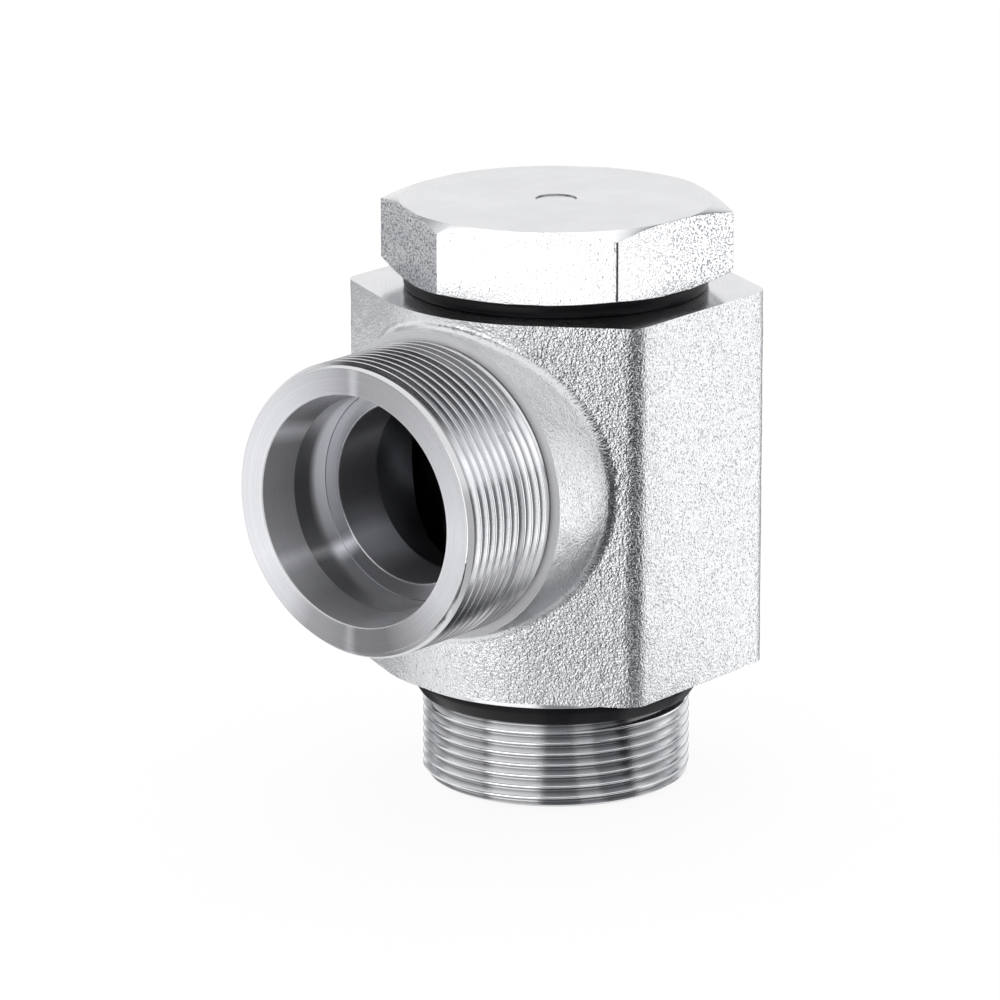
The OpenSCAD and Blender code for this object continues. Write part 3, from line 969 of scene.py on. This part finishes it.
# Heights of the cards that the upright faces reflect to a camera above them, and radius of the near ones
LOW = (-420, 30)
NEAR_R = 262
# What the lamps face, in metres
AIM = Vector((0, 0, 0.06))

DARK = (0.035, 0.036, 0.042)
VIOLET = (0.10, 0.10, 0.12)
SLATE = (0.16, 0.17, 0.20)
GREY = (0.30, 0.305, 0.32)
MID = (0.42, 0.43, 0.45)
BRIGHT = (0.62, 0.625, 0.64)
PALE = (0.92, 0.92, 0.93)


def emitter(name, colour, one_sided, deep):
    """Plain light of one colour, which the mesh's own fade value thins out.

    One-sided shows only its front. Deep shows only to rays that have met two surfaces.
    """
    mat = bpy.data.materials.new(name)
    n = Nodes(mat)
    light = n.add("ShaderNodeEmission")
    light.inputs["Color"].default_value = (*colour, 1)
    clear = n.add("ShaderNodeBsdfTransparent")
    mix = n.add("ShaderNodeMixShader")
    value = n.add("ShaderNodeAttribute", attribute_name="fade").outputs["Fac"]
    if one_sided:
        back = n.add("ShaderNodeNewGeometry").outputs["Backfacing"]
        value = n.math("MULTIPLY", value, n.math("SUBTRACT", 1.0, back))
    if deep:
        depth = n.add("ShaderNodeLightPath").outputs["Ray Depth"]
        value = n.math("MULTIPLY", value, n.math("GREATER_THAN", depth, 1.5))
    n.link(value, mix.inputs[0])
    n.link(clear.outputs[0], mix.inputs[1])
    n.link(light.outputs[0], mix.inputs[2])
    n.show(mix.outputs[0])
    return mat


def add_card(name, verts, faces, fades, colour, one_sided=False, deep=False):
    """A studio card that shows only in reflections."""
    obj = make_object(name, verts, faces, (emitter(name, colour, one_sided, deep),))
    obj.data.attributes.new("fade", "FLOAT", "POINT").data.foreach_set("value", fades)
    obj.visible_camera = False
    obj.visible_diffuse = False
    obj.visible_shadow = False
    obj.visible_transmission = False


def fade(distance, width):
    """Full at a width from the edge and beyond it, and nothing at the edge."""
    return max(0.0, min(1.0, distance / width))


def grid(rows, cols):
    """Faces of a sheet whose points run along its rows, with cols faces in each row."""
    wide = cols + 1
    return [(a, a + 1, a + wide + 1, a + wide) for k in range(rows) for a in range(k * wide, k * wide + cols)]


def card(name, az0, az1, z0, z1, colour, radius=900.0, soft=4.0, soft_z=60.0, rows=8):
    """A curved card round the part, from one azimuth and height to another. Soft is its edges' width in degrees."""
    cols = 24
    verts, fades = [], []
    for z in np.linspace(z0, z1, rows + 1):
        for az in np.linspace(az0, az1, cols + 1):
            verts.append((radius * math.cos(math.radians(az)), radius * math.sin(math.radians(az)), z))
            fades.append(fade(min(az - az0, az1 - az), soft) * fade(min(z - z0, z1 - z), soft_z))
    add_card(name, verts, grid(rows, cols), fades, colour)


def floor_card(name, az0, az1, r0, r1, colour):
    """A card on the floor beside the part, from one azimuth and radius to another. Its grey or dark light is painted
    shadow of the part on the floor, seen only in reflections.
    """
    steps = 32
    shares = (0.0, 0.1, 0.5, 0.85, 1.0)
    weights = (0.0 if r0 > 40 else 1.0, 1.0, 1.0, 1.0, 0.0)
    verts, fades = [], []
    for k in range(steps + 1):
        az = math.radians(az0 + (az1 - az0) * k / steps)
        for share, weight in zip(shares, weights):
            r = r0 + (r1 - r0) * share
            verts.append((r * math.cos(az), r * math.sin(az), FLOOR_Z + 0.1))
            fades.append(fade(min(k, steps - k), 6) * weight)
    add_card(name, verts, grid(steps, len(shares) - 1), fades, colour)


def shade_card():
    """A dark skin just off the block's front below the stub: painted shade, which the boss and the thread reflect
    there. Only rays that come from outside meet it.
    """
    cols = 60
    heights = (22.0, 26.0, 30.0, 34.0, 38.0)
    weights = (1.0, 1.0, 1.0, 0.6, 0.0)
    verts, fades = [], []
    for k in range(cols + 1):
        a = math.radians(-132 + 97 * k / cols)
        radius = plan_radius(a, 0.6)
        x, y = radius * math.cos(a), radius * math.sin(a)
        for z, weight in zip(heights, weights):
            verts.append((x, y, z))
            off_stub = fade(math.hypot(x, z - STUB_Z) - 27.0, 2)
            fades.append(fade(min(k, cols - k), 6) * weight * off_stub)
    faces = [face[::-1] for face in grid(cols, len(heights) - 1)]
    add_card("card_shade", verts, faces, fades, DARK, one_sided=True)


def mouth_card():
    """A pale glowing disc at the stub's mouth, painted light for the bore's reflections, which only rays that come
    out of the stub meet.
    """
    cols = 64
    radius = MOUTH_R - 0.2
    verts = [(0.0, -STUB_END - 0.6, STUB_Z)]
    verts += [(radius * math.cos(TAU * k / cols), -STUB_END - 0.6, STUB_Z + radius * math.sin(TAU * k / cols))
              for k in range(cols)]
    faces = [(0, 1 + (k + 1) % cols, 1 + k) for k in range(cols)]
    add_card("card_mouth", verts, faces, [1.0] * len(verts), PALE, one_sided=True, deep=True)


card("card_front_right", -66, 26, -1300, 320, DARK, soft=6, soft_z=110, rows=16)
card("card_front_high", -150, -63, 390, 900, DARK, soft=8)
card("card_rear", 82, 124, *LOW, SLATE)
card("card_rear_left", 122, 158, *LOW, VIOLET)
card("card_left_high", 138, 180, 150, 760, MID, soft_z=40)
card("card_left_far", 158, 202, *LOW, GREY)
card("card_left", 200, 238, *LOW, PALE)
card("card_left_line", 238, 244, *LOW, DARK, soft=2)
card("card_high_rear", 40, 118, 400, 1200, SLATE, soft=10, soft_z=70)
card("card_near_left", 158, 188, 27, 75, MID, radius=NEAR_R, soft=3, soft_z=4)
card("card_near_low", 150, 216, -44, 25, PALE, radius=NEAR_R, soft=4, soft_z=3)

# Azimuths, radii and colour of the floor's cards, which the low and downward faces reflect: painted shadow of the
# part on the floor, lighter in some sectors than others
FLOOR_CARDS = (
    (-62, -39, 24.6, 92, GREY), (-44, -23, 24.6, 92, BRIGHT), (-28, -4, 24.6, 92, GREY), (2, 40, 24.6, 92, BRIGHT),
    (30, 56, 24.6, 62, SLATE), (55, 112, 24.6, 66, GREY), (140, 215, 24.6, 76, VIOLET), (213, 246, 24.6, 76, PALE),
    (256, 295, 75, 135, DARK),
)
for index, values in enumerate(FLOOR_CARDS):
    floor_card(f"card_floor_{index}", *values)
shade_card()
mouth_card()

# The floor looks white to the camera but for a faint shadow
floor_mat = bpy.data.materials.new("floor")
n = Nodes(floor_mat)
base = n.add("ShaderNodeBsdfDiffuse")
base.inputs["Color"].default_value = (1.0, 1.0, 1.0, 1)
white = n.add("ShaderNodeEmission")
mix = n.add("ShaderNodeMixShader")
n.link(n.math("MULTIPLY", n.add("ShaderNodeLightPath").outputs["Is Camera Ray"], 0.9), mix.inputs[0])
n.link(base.outputs[0], mix.inputs[1])
n.link(white.outputs[0], mix.inputs[2])
n.show(mix.outputs[0])
SIZE = 9000
floor = make_object(
    "floor", [(x, y, FLOOR_Z) for x, y in ((-SIZE, -SIZE), (SIZE, -SIZE), (SIZE, SIZE), (-SIZE, SIZE))],
    [(0, 1, 2, 3)], (floor_mat,))
floor.visible_glossy = False

world = bpy.data.worlds.new("world")
bpy.context.scene.world = world
world.use_nodes = True
tree = world.node_tree
tree.nodes.clear()
back = tree.nodes.new("ShaderNodeBackground")
back.inputs["Color"].default_value = (1, 1, 1, 1)
back.inputs["Strength"].default_value = 1.0
tree.links.new(back.outputs[0], tree.nodes.new("ShaderNodeOutputWorld").inputs["Surface"])


def softbox(name, az, el, distance, width, height, radiance):
    """A lamp that faces the part, in metres, with its azimuth and elevation in degrees."""
    data = bpy.data.lights.new(name, "AREA")
    data.shape = "RECTANGLE"
    data.size = width
    data.size_y = height
    data.energy = radiance * width * height * math.pi
    obj = bpy.data.objects.new(name, data)
    bpy.context.scene.collection.objects.link(obj)
    a, e = math.radians(az), math.radians(el)
    way = Vector((math.cos(a) * math.cos(e), math.sin(a) * math.cos(e), math.sin(e)))
    obj.location = AIM + way * distance
    obj.rotation_euler = way.to_track_quat("Z", "Y").to_euler()


softbox("softbox_right", 56, -13, 1.2, 0.55, 0.75, 0.55)
softbox("softbox_front_left", -91, -8, 1.2, 0.9, 0.9, 0.9)
softbox("softbox_top", 128, 62, 1.3, 0.9, 0.9, 0.6)

bpy.context.scene.view_settings.view_transform = "Standard"
